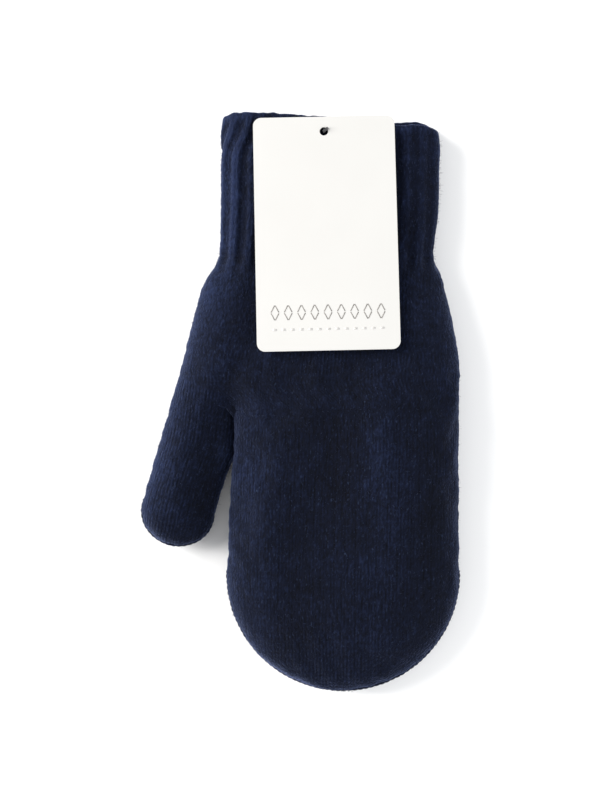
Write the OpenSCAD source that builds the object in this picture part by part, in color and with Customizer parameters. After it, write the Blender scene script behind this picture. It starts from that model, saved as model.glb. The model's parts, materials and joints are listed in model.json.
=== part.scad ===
// Adult's double-layer knitted mitten with a ribbed cuff and a hang tag, lying flat.
// +Z is up, +Y points from the fingertips to the cuff, and the thumb is on the -X side.
// The origin is under the middle of the whole mitten, on the surface that it lies on.

/* [Hand] */
// Width over the hand and the thumb together
total_w = 136; // [132:1:140]
// Length from the fingertips to the highest point of the cuff's rim
total_len = 247; // [240:1:255]
// Flat width of the hand
hand_w = 99; // [97:0.5:101]
// Thickness of the hand as it lies, both walls and the air between them
hand_t = 23; // [21:0.5:26]

/* [Cuff] */
// Flat width of the cuff at its rim
cuff_w = 94.5; // [90:0.5:97]
// Flat width where the cuff meets the hand
wrist_w = 92.2; // [88:0.2:94]
// How far the cuff's middle stands to the left of the hand's
cuff_shift = 5.4; // [4:0.2:7]
// Length of the ribbed cuff along its middle
cuff_len = 58.5; // [50:0.5:62]
// Thickness of the flattened cuff at the wrist
cuff_t = 17.5; // [17:0.5:19]
// Ribs across one face of the cuff
rib_count = 13; // [11:1:15]
// Depth of the furrow between two ribs
rib_depth = 0.7; // [0.4:0.1:0.8]
// Fall of the rim across the cuff, in mm for each mm to the right
rim_slope = 0.06; // [0:0.01:0.08]
// Number of elastic threads round the cuff
elastic_count = 3; // [1:1:5]

/* [Thumb] */
// Radius of the thumb's root, in plan
thumb_root_r = 14; // [13.5:0.5:14.5]
// Radius of the thumb's tip, in plan
thumb_tip_r = 15; // [14:0.5:16]
// Length from the middle of the root to the middle of the tip's arc
thumb_len = 50; // [47:1:53]
// Lean of the thumb away from the fingers, in degrees
thumb_lean = 14; // [13:0.5:16]
// Thickness of the thumb as it lies
thumb_t = 18.5; // [17.5:0.5:20]

/* [Knit] */
// Thickness of the outer knit
shell_wall = 2.1; // [1.8:0.1:2.2]
// Thickness of the inner knit
lining_wall = 1.4; // [1.2:0.1:1.6]
// Diameter of the linking thread in the seams
seam_d = 1.2; // [1:0.1:1.4]

/* [Hang tag] */
// Width of the card
tag_w = 60; // [50:1:64]
// Length of the card
tag_len = 100; // [80:1:104]
// Thickness of the card
tag_t = 0.5; // [0.4:0.1:0.8]
// Radius of the card's corners
tag_corner = 3.5; // [2:0.5:5]
// Diameter of the punched hole
tag_hole_d = 3.6; // [3.2:0.1:4]
// Turn of the card on its pin, in degrees
tag_turn = 1.2; // [0:0.2:3]
// Rise of the card from its pinned end to its free end
tag_rise = 9; // [8:0.5:12]

/* [Hidden] */

navy = "#1d2338";
dark_navy = "#171c2e";
card_white = "#f8f7f3";
nylon = "#e4e4e2";
elastic_black = "#2b2b2e";

// Distances of the knit layers' faces from the outer surface
layer_gap = 0.15;
lining_start = shell_wall + layer_gap;
lining_end = lining_start + lining_wall;

// Plan of the hand. The fingertips are half a circle.
hand_right = total_w / 2;
tip_r = hand_w / 2;
hand_mid = hand_right - tip_r;
hand_left = hand_mid - tip_r;
tip_y = tip_r - total_len / 2;
cuff_mid = hand_mid - cuff_shift;
rim_y = total_len / 2 - rim_slope * cuff_w / 2;
wrist_y = rim_y - cuff_len;

// Plan of the thumb. Its round root turns in a round seat in the hand.
thumb_x = thumb_tip_r - hand_right + thumb_len * sin(thumb_lean);
thumb_y = 2;
seat_r = thumb_root_r + 0.5;
mouth_d = 0.75 * thumb_root_r;
// The hand's left side stops above the thumb, and starts again below it at the crotch
gusset_end = thumb_y + 0.78 * thumb_root_r;
crotch_y = thumb_y - 5;
crotch_x = thumb_x + half_chord(seat_r, crotch_y - thumb_y) - 0.6;
gusset_x = thumb_x - 0.79 * thumb_root_r;

// Heights. The sections start below z = 0 and are pressed flat there, which gives the underside.
sunk = 0.8;
tip_t = hand_t - 3;
rim_t = cuff_t - 1;

// Sections are rounded oblongs, with this exponent and this number of corners
squareness = 3;
corners = 28;
// Length over which a closed end rounds off
end_round = 13;
// Higher than the mitten, for the block that cuts the thumb's seat
seat_h = 60;

function lerp(a, b, s) = a + (b - a) * s;
function clamp01(s) = min(1, max(0, s));
function ease(s, power) = 1 - pow(1 - clamp01(s), power);
function smooth(s) = let (t = clamp01(s)) t * t * (3 - 2 * t);
function signed_pow(v, e) = sign(v) * pow(abs(v), e);
function reversed(list) = [for (i = [len(list) - 1 : -1 : 0]) list[i]];
function half_chord(r, off) = sqrt(max(0, r * r - off * off));

// Half-width of the cuff, and the height of the top surface along the mitten
function cuff_half(y) = lerp(wrist_w, cuff_w, smooth((y - wrist_y) / 20)) / 2;
function top_z(y) =
    y >= wrist_y ? lerp(cuff_t, rim_t, (y - wrist_y) / cuff_len)
    : y > 10 ? lerp(cuff_t, hand_t, smooth((wrist_y - y) / 42))
    : lerp(hand_t, tip_t, smooth(-y / 80));

// Edges of the hand in plan, between the tip's arc and the wrist
function right_edge(y) =
    lerp(cuff_mid + wrist_w / 2, hand_right, ease((wrist_y - y) / 52, 1.8));
function left_edge(y, inset) =
    y >= gusset_end + inset
        ? lerp(cuff_mid - wrist_w / 2, gusset_x, ease((wrist_y - y) / (wrist_y - gusset_end), 1.5))
    : y > crotch_y + inset ? thumb_x - inset
    : lerp(crotch_x, hand_left, ease((crotch_y - y) / (crotch_y - tip_y), 1.5));

// A rounded oblong from xl to xr and from zb to zt, pressed flat at the height "floor_z"
function oblong(xl, xr, y, zb, zt, floor_z) = [
    for (i = [0 : corners - 1])
        let (turn = 360 * i / corners)
        [
            (xl + xr) / 2 + (xr - xl) / 2 * signed_pow(cos(turn), 2 / squareness),
            y,
            max(floor_z, (zb + zt) / 2 + (zt - zb) / 2 * signed_pow(sin(turn), 2 / squareness))
        ]
];

// Share of the full thickness at a distance from a closed end
function end_share(distance) =
    pow(1 - pow(1 - clamp01(distance / end_round), squareness), 1 / squareness);

// Closes a row of equal rings into one solid, with a flat cap on the first and the last
module loft(rings) {
    sides = len(rings[0]);
    last = (len(rings) - 1) * sides;
    polyhedron(
        points = [for (ring = rings) each ring],
        faces = concat(
            [[for (i = [sides - 1 : -1 : 0]) i]],
            [
                for (k = [0 : sides : last - 1])
                    for (i = [0 : sides - 1])
                        let (a = k + i, b = k + (i + 1) % sides)
                        each [[a, b, b + sides], [a, b + sides, a + sides]]
            ],
            [[for (i = [0 : sides - 1]) last + i]]
        )
    );
}

// Closes rings that go out along a surface and come back along another into a tube
module tube(rings) {
    sides = len(rings[0]);
    total = len(rings) * sides;
    polyhedron(
        points = [for (ring = rings) each ring],
        faces = [
            for (k = [0 : sides : total - 1])
                for (i = [0 : sides - 1])
                    let (
                        a = k + i,
                        b = k + (i + 1) % sides,
                        c = (b + sides) % total,
                        d = (a + sides) % total
                    )
                    each [[a, b, c], [a, c, d]]
        ]
    );
}

// A section of the hand, "inset" mm inside its outer surface
function hand_section(y, xl, xr, inset) =
    let (
        top = top_z(y),
        middle = (top - sunk) / 2,
        rise = ((top + sunk) / 2 - inset) * end_share(y + total_len / 2 - inset)
    )
    oblong(xl, xr, y, middle - rise, middle + rise, inset);
function tip_sections(inset) = [
    for (turn = [88, 77, 66, 55, 44, 33, 22, 11])
        let (r = tip_r - inset, half = r * cos(turn))
        hand_section(tip_y - r * sin(turn), hand_mid - half, hand_mid + half, inset)
];
function side_sections(inset, ys) = [
    for (y = ys) hand_section(y, left_edge(y, inset) + inset, right_edge(y) - inset, inset)
];
// Places of the sections from the tip's arc to the wrist
finger_ys = [tip_y, -58, -42, -26, -12];
gusset_steps = [0.12, 0.28, 0.46, 0.64, 0.8, 0.92];

// The hand's outline "inset" mm in from its surface, up to "top_y"
module hand_form(inset, top_y) {
    thumb_top = gusset_end + inset;
    difference() {
        loft(concat(
            tip_sections(inset),
            side_sections(inset, concat(
                finger_ys,
                [crotch_y + inset, crotch_y + inset + 3, thumb_top - 3, thumb_top],
                [for (s = gusset_steps) lerp(thumb_top, wrist_y, s)],
                [top_y]
            ))
        ));
        translate([thumb_x, thumb_y, -seat_h / 2]) cylinder(r = seat_r + inset, h = seat_h, $fn = 96);
    }
}

// One layer of knit, from one inset to another, open at the wrist and into the thumb
module hand_layer(outer, inner) {
    difference() {
        hand_form(outer, wrist_y);
        hand_form(inner, wrist_y + 1);
        thumb_passage();
    }
}

// The way from the hand into the thumb
passage_w = 12;
passage_h = 10;
module thumb_passage() {
    at_thumb_root()
        translate([-passage_w / 2, 0, lining_end])
            cube([passage_w, 2 * seat_r, passage_h]);
}

// Puts the root's middle at the origin and the thumb's tip towards -Y
module at_thumb_root() {
    translate([thumb_x, thumb_y, 0]) rotate([0, 0, -thumb_lean]) children();
}

module hand_shell() {
    color(navy) hand_layer(0, shell_wall);
}

module hand_lining() {
    color(dark_navy) hand_layer(lining_start, lining_end);
}

// Linking thread round half a circle in plan, sewn into the edge of the knit
module end_seam(radius, height) {
    translate([0, 0, height / 2])
        rotate([0, 0, 180])
            rotate_extrude(angle = 180, $fn = 96)
                translate([radius - seam_d / 4, 0])
                    circle(d = seam_d, $fn = 16);
}

module fingertip_seam() {
    color(dark_navy) translate([hand_mid, tip_y, 0]) end_seam(tip_r, tip_t - sunk);
}

// Cuff. Its outer face is ribbed, with four points to a rib on each face.
rib_points = 4 * rib_count;
rib_profile = [0, 0.5, 1, 0.5];
cuff_wall = shell_wall + 0.2;
elastic_d = 0.6;
elastic_start = cuff_wall + 0.1;
elastic_step = 6;
facing_start = elastic_start + elastic_d + 0.1;
facing_end = facing_start + lining_wall;
cuff_ys = [for (s = [0, 0.17, 0.34, 0.67, 1]) wrist_y + s * cuff_len];

// The cuff slants more and more from the wrist, where it is square, to the rim
function slanted(y, x) = y - rim_slope * (x - cuff_mid) * (y - wrist_y) / cuff_len;
function crown(s) = pow(1 - pow(abs(s), squareness), 1 / squareness);
// A section of the cuff with "points" points on each face and furrows of the given depth
function cuff_ring(y, inset, points, depth = 0) =
    let (
        half = cuff_half(y) - inset,
        middle = (top_z(y) - sunk) / 2,
        rise = (top_z(y) + sunk) / 2 - inset,
        face = [
            for (i = [1 : points - 1])
                let (share = -cos(180 * i / points))
                [half * share, rise * crown(share) - depth * rib_profile[i % 4]]
        ],
        outline = concat(
            [[half, 0]],
            [for (i = [len(face) - 1 : -1 : 0]) face[i]],
            [[-half, 0]],
            [for (p = face) [p[0], -p[1]]]
        )
    )
    [
        for (p = outline)
            let (x = cuff_mid + p[0])
            [x, slanted(y, x), max(inset, middle + p[1])]
    ];

module ribbed_cuff() {
    color(navy)
        tube(concat(
            [for (y = cuff_ys) cuff_ring(y, 0, rib_points, rib_depth)],
            reversed([for (y = cuff_ys) cuff_ring(y, cuff_wall, rib_points)])
        ));
}

facing_points = 14;
module cuff_facing() {
    color(dark_navy)
        tube(concat(
            [for (y = cuff_ys) cuff_ring(y, facing_start, facing_points)],
            reversed([for (y = cuff_ys) cuff_ring(y, facing_end, facing_points)])
        ));
}

// Elastic threads laid round between the two layers, near the wrist
module cuff_elastic() {
    color(elastic_black)
        for (i = [1 : elastic_count])
            translate([0, wrist_y + i * elastic_step, 0])
                rotate([90, 0, 0])
                    linear_extrude(elastic_d)
                        elastic_loop(wrist_y + i * elastic_step);
}
module elastic_loop(y) {
    difference() {
        section_outline(y, elastic_start);
        section_outline(y, elastic_start + elastic_d);
    }
}
module section_outline(y, inset) {
    polygon([for (p = cuff_ring(y, inset, facing_points)) [p[0], p[2]]]);
}

// Thumb
function thumb_half(d) = d < 0 ? half_chord(thumb_root_r, d) : lerp(thumb_root_r, thumb_tip_r, d / thumb_len);
function thumb_section(d, half, inset) =
    let (
        middle = (thumb_t - sunk) / 2,
        rise = ((thumb_t + sunk) / 2 - inset) * end_share(thumb_len + thumb_tip_r - inset - d)
    )
    oblong(-half, half, -d, middle - rise, middle + rise, inset);
function thumb_tip_sections(inset) = [
    for (turn = [87, 72, 56, 40, 24, 8])
        let (r = thumb_tip_r - inset)
        thumb_section(thumb_len + r * sin(turn), r * cos(turn), inset)
];
thumb_ds = [thumb_len - 8, thumb_len / 2, 0, -0.5 * mouth_d, -0.8 * mouth_d];
module thumb_form(inset, mouth) {
    at_thumb_root()
        loft(concat(
            thumb_tip_sections(inset),
            [for (d = thumb_ds) thumb_section(d, thumb_half(d) - inset, inset)],
            [thumb_section(-mouth, thumb_half(-mouth_d) - inset, inset)]
        ));
}
module thumb_layer(outer, inner) {
    difference() {
        thumb_form(outer, mouth_d);
        thumb_form(inner, mouth_d + 1);
    }
}

module thumb_shell() {
    color(navy) thumb_layer(0, shell_wall);
}

module thumb_lining() {
    color(dark_navy) thumb_layer(lining_start, lining_end);
}

// Linking thread round the thumb's mouth, where it was joined to the hand
join_half = half_chord(thumb_root_r, mouth_d + seam_d);
join_h = thumb_t - 4;
module thumb_join_seam() {
    color(dark_navy)
        at_thumb_root()
            translate([0, mouth_d + seam_d, thumb_t / 2])
                rotate([90, 0, 0])
                    linear_extrude(seam_d)
                        difference() {
                            square([2 * join_half, join_h], center = true);
                            square([2 * (join_half - seam_d), join_h - 2 * seam_d], center = true);
                        }
}

module thumb_tip_seam() {
    color(dark_navy)
        at_thumb_root() translate([0, -thumb_len, 0]) end_seam(thumb_tip_r, thumb_t - sunk);
}

// Hang tag. It lies on the cuff's rim and rises over the thicker hand.
hinge_y = rim_y;
tag_x = cuff_mid - 3;
tag_clear = 0.6;
tag_top_z = rim_t + tag_clear;
tag_pitch = asin(tag_rise / tag_len);
hole_drop = 6.4;

// Places what is drawn round the punched hole, with the card's underside at z = 0
module at_tag_hole() {
    translate([tag_x, hinge_y, tag_top_z])
        rotate([-tag_pitch, 0, 0])
            translate([0, -hole_drop, 0])
                children();
}

module hang_tag() {
    color(card_white)
        at_tag_hole()
            rotate([0, 0, tag_turn])
                difference() {
                    translate([0, hole_drop - tag_len / 2, 0]) card_blank();
                    translate([0, 0, -1]) cylinder(d = tag_hole_d, h = tag_t + 2, $fn = 48);
                }
}

// The card with round corners: two crossed strips and four round corner pieces
module card_blank() {
    across = tag_w - 2 * tag_corner;
    along = tag_len - 2 * tag_corner;
    linear_extrude(tag_t) {
        square([across, tag_len], center = true);
        square([tag_w, along], center = true);
        for (sx = [-1, 1])
            for (sy = [-1, 1])
                translate([sx * across / 2, sy * along / 2])
                    circle(r = tag_corner, $fn = 48);
    }
}

// Nylon tag pin: a small paddle on the card, a filament through the hole, and a bar in the cuff.
// The filament bends freely, so it is parted just under the card.
filament_d = 0.7;
paddle_len = 2.6;
paddle_w = 1.1;
paddle_t = 0.45;
paddle_turn = 40;
paddle_gap = 0.1;
module tag_pin_paddle() {
    color(nylon)
        at_tag_hole()
            rotate([0, 0, paddle_turn]) {
                translate([0, 0, -0.2]) cylinder(d = filament_d, h = tag_t + 0.4 + paddle_gap, $fn = 24);
                translate([-filament_d / 2, -paddle_w / 2, tag_t + paddle_gap])
                    cube([paddle_len, paddle_w, paddle_t]);
            }
}

bar_len = 9;
bar_d = 1;
pin_y = hinge_y - hole_drop * cos(tag_pitch);
bar_z = top_z(pin_y) - facing_end - bar_d / 2 - 0.15;
pin_top = tag_top_z + hole_drop * sin(tag_pitch) - 0.5;
module tag_pin_bar() {
    color(nylon)
        translate([tag_x, pin_y, bar_z]) {
            cylinder(d = filament_d, h = pin_top - bar_z, $fn = 24);
            rotate([0, 90, 0]) cylinder(d = bar_d, h = bar_len, center = true, $fn = 24);
        }
}

hand_shell();
hand_lining();
fingertip_seam();
ribbed_cuff();
cuff_facing();
cuff_elastic();
thumb_shell();
thumb_lining();
thumb_join_seam();
thumb_tip_seam();
tag_pin_bar();
tag_pin_paddle();
hang_tag();
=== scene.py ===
"""Looks of the knitted mitten: brushed double knit, ribbed cuff, seams, card tag and its nylon pin.

Sizes are millimetres in the row frame (+Y towards the cuff, +Z up, thumb on -X), and become
metres when a mesh is made. Every skin is a grid of rows along the mitten by columns round it.
"""

import json
import math

import bmesh
import bpy
import numpy as np
from mathutils import Matrix, Vector


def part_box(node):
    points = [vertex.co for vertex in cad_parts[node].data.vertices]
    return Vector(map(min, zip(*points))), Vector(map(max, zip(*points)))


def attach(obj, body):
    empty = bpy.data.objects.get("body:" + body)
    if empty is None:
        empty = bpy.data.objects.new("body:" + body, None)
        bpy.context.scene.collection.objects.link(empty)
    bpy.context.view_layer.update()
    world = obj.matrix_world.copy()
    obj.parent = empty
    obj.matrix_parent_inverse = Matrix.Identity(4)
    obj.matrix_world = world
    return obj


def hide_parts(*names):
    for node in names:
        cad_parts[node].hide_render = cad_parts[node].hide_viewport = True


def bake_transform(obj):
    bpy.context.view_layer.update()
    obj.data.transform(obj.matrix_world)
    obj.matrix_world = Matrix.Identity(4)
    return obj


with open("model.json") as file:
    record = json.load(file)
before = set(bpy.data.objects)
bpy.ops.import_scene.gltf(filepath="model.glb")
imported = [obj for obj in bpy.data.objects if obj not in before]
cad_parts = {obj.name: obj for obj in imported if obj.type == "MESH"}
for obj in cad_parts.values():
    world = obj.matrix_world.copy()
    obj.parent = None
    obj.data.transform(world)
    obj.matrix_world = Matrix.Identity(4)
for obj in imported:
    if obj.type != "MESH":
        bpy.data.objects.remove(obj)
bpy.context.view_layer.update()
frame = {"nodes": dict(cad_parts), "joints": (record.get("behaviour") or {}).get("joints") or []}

METRE = 0.001


def node_box(name):
    low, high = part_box(name)
    return np.array(low) / METRE, np.array(high) / METRE


def joint(name):
    return next(j for j in frame["joints"] if j["name"] == name)


# ---------------------------------------------------------------- places taken from the frame
hand_low, hand_high = node_box("hand_shell")
_, cuff_high = node_box("ribbed_cuff")
tip_low, tip_high = node_box("fingertip_seam")
_, thumb_high = node_box("thumb_shell")

THUMB_ROOT = np.array(joint("thumb_swing")["pos_m"]) / METRE
HOLE = np.array(joint("tag_swivel")["pos_m"]) / METRE
TAG_NORMAL = Vector(joint("tag_swivel")["axis"])

WRIST_Y = hand_high[1]
TIP_Y = tip_high[1]
TIP_MID = (tip_low[0] + tip_high[0]) / 2
TIP_R = hand_high[0] - TIP_MID
TIP_END = hand_low[1]
HAND_T = hand_high[2]
CUFF_T = cuff_high[2]
THUMB_T = thumb_high[2]
THUMB_LEAN = math.radians(14)

# ---------------------------------------------------------------- sizes of the knit
# one column and one row of stitches, and one rib: assumed, as the photograph doesn't show them clearly
WALE, COURSE, RIB = 2.9, 2.1, 7.25
RIB_RAISED = 0.76  # share of a rib that is raised
RIB_WALL = 0.24  # share taken by each of its slopes
# walls of the outer layer and the lining, and the gap between
SHELL, LINING, LAYER_GAP = 2.0, 1.4, 0.15


# ---------------------------------------------------------------- small helpers
def spline(*points):
    """A smooth curve through (place, value) points, as a function of the place."""
    p = np.array(sorted(points), float)
    x, y = p[:, 0], p[:, 1]
    slope = np.gradient(y, x)

    def at(q):
        q = np.clip(np.asarray(q, float), x[0], x[-1])
        k = np.clip(np.searchsorted(x, q) - 1, 0, len(x) - 2)
        h = x[k + 1] - x[k]
        t = (q - x[k]) / h
        t2, t3 = t * t, t * t * t
        return (
            (2 * t3 - 3 * t2 + 1) * y[k]
            + (t3 - 2 * t2 + t) * h * slope[k]
            + (3 * t2 - 2 * t3) * y[k + 1]
            + (t3 - t2) * h * slope[k + 1]
        )

    return at


def smooth(t):
    t = np.clip(t, 0, 1)
    return t * t * (3 - 2 * t)


def ripple(x, y, length, seed, waves=9):
    """Smooth irregular waves of about the given length, from -1 to 1."""
    rng = np.random.default_rng(seed)
    total = np.zeros(np.broadcast(x, y).shape)
    for _ in range(waves):
        turn = rng.uniform(0, 2 * np.pi)
        k = 2 * np.pi / (length * rng.uniform(0.7, 1.6))
        total += np.sin(k * (x * np.cos(turn) + y * np.sin(turn)) + rng.uniform(0, 2 * np.pi))
    return total / (0.7 * waves)


def grain(shape, seed):
    return np.random.default_rng(seed).uniform(-1, 1, shape)


# ---------------------------------------------------------------- outlines in plan
# Left of the hand: the gusset widens down to the thumb's seam, then the edge runs under the thumb
# to the crotch
hand_left = spline(
    (WRIST_Y + 6, -34.1), (WRIST_Y, -34.7), (57.5, -37.3), (49.6, -41.4), (41, -44.1), (28, -47.3),
    (19, -49.4), (11, -51.4), (7.6, -51.7), (5.4, -50.2), (3.6, -47.3), (0, -39.4), (-3.6, -31.2),
    (-5.6, -29.0), (-9, -28.1), (-14, -27.9), (-24, -28.4), (-34, -29.4), (-58, -30.4),
    (TIP_Y, TIP_MID - TIP_R),
)
hand_right = spline(
    (WRIST_Y + 6, 58.4), (WRIST_Y, 57.8), (54, 60.3), (41, 63.8), (32, 65.6), (23, 67.1),
    (7, 67.9), (-12, 68.0), (TIP_Y, TIP_MID + TIP_R),
)
hand_height = spline(
    (WRIST_Y + 6, CUFF_T - 0.4), (WRIST_Y, CUFF_T - 0.3), (52, CUFF_T + 1.2), (32, HAND_T - 1.0),
    (8, HAND_T), (-40, HAND_T - 0.9), (-90, HAND_T - 2.4), (TIP_END, HAND_T - 3),
)

# The thumb is drawn with its root at the origin and its tip towards -Y
THUMB_LEN = 65.0
THUMB_SINK = 17.0
THUMB_ARC_Y = -51.0
thumb_left = spline(
    (THUMB_SINK, -12.1), (8, -12.5), (2, -12.8), (-6, -13.1), (-24, -13.9), (-40, -14.5),
    (THUMB_ARC_Y, -14.6),
)
thumb_right = spline(
    (THUMB_SINK, 9.0), (8, 11.5), (2, 12.2), (-2, 13.2), (-6, 14.1), (-10, 15.6), (-15, 16.8),
    (-20, 17.7), (-24, 17.8), (-28, 17.3), (-34, 16.7), (-42, 16.4), (THUMB_ARC_Y, 16.1),
)
thumb_height = spline(
    (THUMB_SINK, THUMB_T + 1.5), (0, THUMB_T + 0.8), (-12, THUMB_T), (-40, THUMB_T),
    (-THUMB_LEN, THUMB_T - 1.5),
)


def arc_edges(y, arc_y, end_y, left, right):
    """Left and right edges where an outline closes in half an ellipse below arc_y."""
    share = np.clip((arc_y - y) / (arc_y - end_y), 0, 1)
    chord = np.sqrt(np.maximum(0, 1 - share**2))
    xl, xr = float(left(arc_y)), float(right(arc_y))
    middle, half = (xl + xr) / 2, (xr - xl) / 2
    return (
        np.where(y < arc_y, middle - half * chord, left(y)),
        np.where(y < arc_y, middle + half * chord, right(y)),
    )


def row_places(top_y, arc_y, end_y, step, arc_rows):
    """Places of the rows: even down to the arc, then at even turns round it, short of its very end."""
    straight = np.linspace(top_y, arc_y, int(round((top_y - arc_y) / step)) + 1)
    turns = np.linspace(0, np.pi / 2, arc_rows + 1)[1:]
    turns[-1] = np.radians(89.2)
    return np.concatenate([straight, arc_y - (arc_y - end_y) * np.sin(turns)])


def distance_to(outline, x, y):
    """Distance in plan from each point to an open polyline."""
    a, b = outline[:-1], outline[1:]
    ab = b - a
    best = np.full(x.shape, 1e9)
    length2 = (ab**2).sum(1)
    for k in range(len(a)):
        t = np.clip(((x - a[k, 0]) * ab[k, 0] + (y - a[k, 1]) * ab[k, 1]) / length2[k], 0, 1)
        d = (x - a[k, 0] - t * ab[k, 0]) ** 2 + (y - a[k, 1] - t * ab[k, 1]) ** 2
        best = np.minimum(best, d)
    return np.sqrt(best)


def resample(x, z, count):
    """Even steps along a curve given by x and z, with the length travelled at each."""
    s = np.concatenate([[0], np.cumsum(np.hypot(np.diff(x), np.diff(z)))])
    q = np.linspace(0, s[-1], count)
    return np.interp(q, s, x), np.interp(q, s, z), q


# ---------------------------------------------------------------- skins
class Skin:
    """A grid of points: rows along, columns round, the first `top` of them over the upper side.

    u counts across the knit and v along it, in mm.
    """

    def __init__(self, points, u, v, top):
        self.points, self.u, self.v, self.top = points, u, v, top

    def inset(self, rows, depth):
        """The rings of some rows, drawn in by a depth towards each ring's own middle."""
        p = self.points[rows]
        depth = np.asarray(depth, float)
        if depth.ndim < 2:
            depth = depth.reshape(-1, 1)
        left, right = p[:, 0], p[:, self.top]
        across = right - left
        across[:, 2] = 0
        half = np.linalg.norm(across, axis=1, keepdims=True) / 2
        across /= 2 * half
        centre = (left + right) / 2
        low, high = p[..., 2].min(1, keepdims=True), p[..., 2].max(1, keepdims=True)
        mid = (low + high) / 2
        along = ((p - centre[:, None]) * across[:, None]).sum(2)
        out = p - across[:, None] * (along * (depth / half))[..., None]
        out[..., 2] = mid + (p[..., 2] - mid) * (1 - depth / ((high - low) / 2))
        return out

    def normals(self):
        p = self.points
        across = np.roll(p, -1, 1) - np.roll(p, 1, 1)
        along = np.gradient(p, axis=0)
        n = np.cross(across, along)
        n /= np.maximum(np.linalg.norm(n, axis=2, keepdims=True), 1e-9)
        middle = p.mean(1, keepdims=True)
        if ((p - middle) * n).sum() < 0:
            n = -n
        return n


SQUARENESS = 2.3  # of an edge in section; 2 is a round one


def round_off(distance, radius):
    t = 1 - np.clip(distance / radius, 0, 1)
    return np.maximum(1 - t**SQUARENESS, 0) ** (1 / SQUARENESS)


def filled(height, belly, inward, radius):
    """Top and bottom of a soft form, at a distance in from an edge that lies at height * belly."""
    middle = height * belly
    dome = 1 - 0.05 * np.exp(-inward / 16)
    top = middle + (height * dome - middle) * round_off(inward, radius)
    return top, middle * (1 - round_off(inward, 0.75 * radius))


def pillow(ys, edges, form, top_cols, bottom_cols):
    """A soft flat form that lies on z = 0. form gives its top and bottom at points in plan."""
    xl, xr = edges(ys)
    dense = (1 - np.cos(np.linspace(0, np.pi, 170))) / 2
    x = xl[:, None] + (xr - xl)[:, None] * dense[None, :]
    y = np.repeat(ys[:, None], len(dense), 1)
    top, bottom = form(x, y)
    rows, us = [], []
    for k in range(len(ys)):
        tx, tz, tq = resample(x[k], top[k], top_cols + 1)
        bx, bz, bq = resample(x[k][::-1], bottom[k][::-1], bottom_cols + 1)
        middle = (xl[k] + xr[k]) / 2
        centre = np.interp(middle, tx, tq)
        rows.append(np.stack([
            np.concatenate([tx[:-1], bx[:-1]]),
            np.full(top_cols + bottom_cols, ys[k]),
            np.concatenate([tz[:-1], bz[:-1]]),
        ], 1))
        us.append(np.concatenate([tq[:-1] - centre, bq[-1] / 2 - bq[:-1]]))
    points = np.array(rows)
    crest = points[:, top_cols // 2]
    v = -np.concatenate([[0], np.cumsum(np.linalg.norm(np.diff(crest, axis=0), axis=1))])
    return Skin(points, np.array(us), np.repeat(v[:, None], points.shape[1], 1), top_cols)


# ---------------------------------------------------------------- knit reliefs, in mm and 0..1
def stockinette(u, v, seed):
    """Columns of plain stitches, each a pair of slanting legs, worn soft by the brushing."""
    a = u / WALE + 0.11 * ripple(u, v, 26, seed) + 0.05 * ripple(u, v, 5, seed + 1)
    b = v / COURSE + 0.12 * ripple(u, v, 18, seed + 2) + 0.10 * ripple(u, v, 4, seed + 3)
    phase = a - np.floor(a)
    side = 1 - np.abs(2 * phase - 1)
    leg = np.clip(np.sin(np.pi * np.clip(side * 1.08 - 0.02, 0, 1)), 0, 1) ** 0.7
    loop = 0.5 + 0.5 * np.cos(2 * np.pi * (b + 0.55 * side))
    # a fixed stray value from 0 to 1 for each stitch
    cell = np.sin(12.9898 * np.floor(a) + 78.233 * np.floor(b + 0.55 * side)) * 43758.5453
    stray = cell - np.floor(cell)
    worn = 0.5 + 0.5 * ripple(u, v * 0.35, 6, seed + 4)
    return leg * (0.52 + 0.26 * loop) + 0.14 * stray + 0.16 * worn


def ribbing(u, v, seed):
    """Raised pairs of plain columns with one sunken column between."""
    a = u / RIB + 0.06 * ripple(u, v, 30, seed)
    phase = a - np.floor(a)
    rib = smooth(phase / RIB_WALL) * smooth((RIB_RAISED - phase) / RIB_WALL)
    within = np.clip(phase / RIB_RAISED, 0, 1) * 2
    side = 1 - np.abs(2 * (within - np.floor(within)) - 1)
    b = v / COURSE + 0.10 * ripple(u, v, 14, seed + 1) + 0.08 * ripple(u, v, 4, seed + 2)
    loop = 0.5 + 0.5 * np.cos(2 * np.pi * (b + 0.5 * side))
    leg = np.sin(np.pi * np.clip(side, 0, 1)) ** 0.8
    lumps = 0.5 + 0.5 * ripple(u, v, 5, seed + 3)
    plain = rib * (0.62 + 0.24 * leg * (0.4 + 0.6 * loop) + 0.14 * lumps)
    purl = (1 - rib) * 0.16 * (0.5 + 0.5 * np.cos(2 * np.pi * b))
    return plain + purl


# ---------------------------------------------------------------- meshes
FLOOR_GIVE = 0.3  # over what height the knit is pressed flat against the floor


def new_object(name, verts, faces, relief=None, on_floor=False):
    verts = np.array(verts, float)
    if on_floor:
        # the knit is pressed flat where it lies on the floor, and none of it sinks in
        z = verts[:, 2]
        verts[:, 2] = (z + np.sqrt(z * z + FLOOR_GIVE**2)) / 2
    mesh = bpy.data.meshes.new(name)
    mesh.from_pydata((verts * METRE).tolist(), [], faces)
    mesh.update()
    mesh.polygons.foreach_set("use_smooth", np.ones(len(mesh.polygons), bool))
    # the relief, which the knit's material turns into painted shade in hollows and painted light on
    # crests
    if relief is not None:
        mark = mesh.attributes.new("relief", "FLOAT", "POINT")
        mark.data.foreach_set("value", np.asarray(relief, np.float32))
    obj = bpy.data.objects.new(name, mesh)
    bpy.context.scene.collection.objects.link(obj)
    return obj


def ring_faces(first, second, flip=False):
    """Quads between two closed rings of vertex numbers."""
    a, b = np.asarray(first), np.asarray(second)
    quads = np.stack([a, np.roll(a, -1), np.roll(b, -1), b], 1)
    return (quads[:, ::-1] if flip else quads).tolist()


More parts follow.
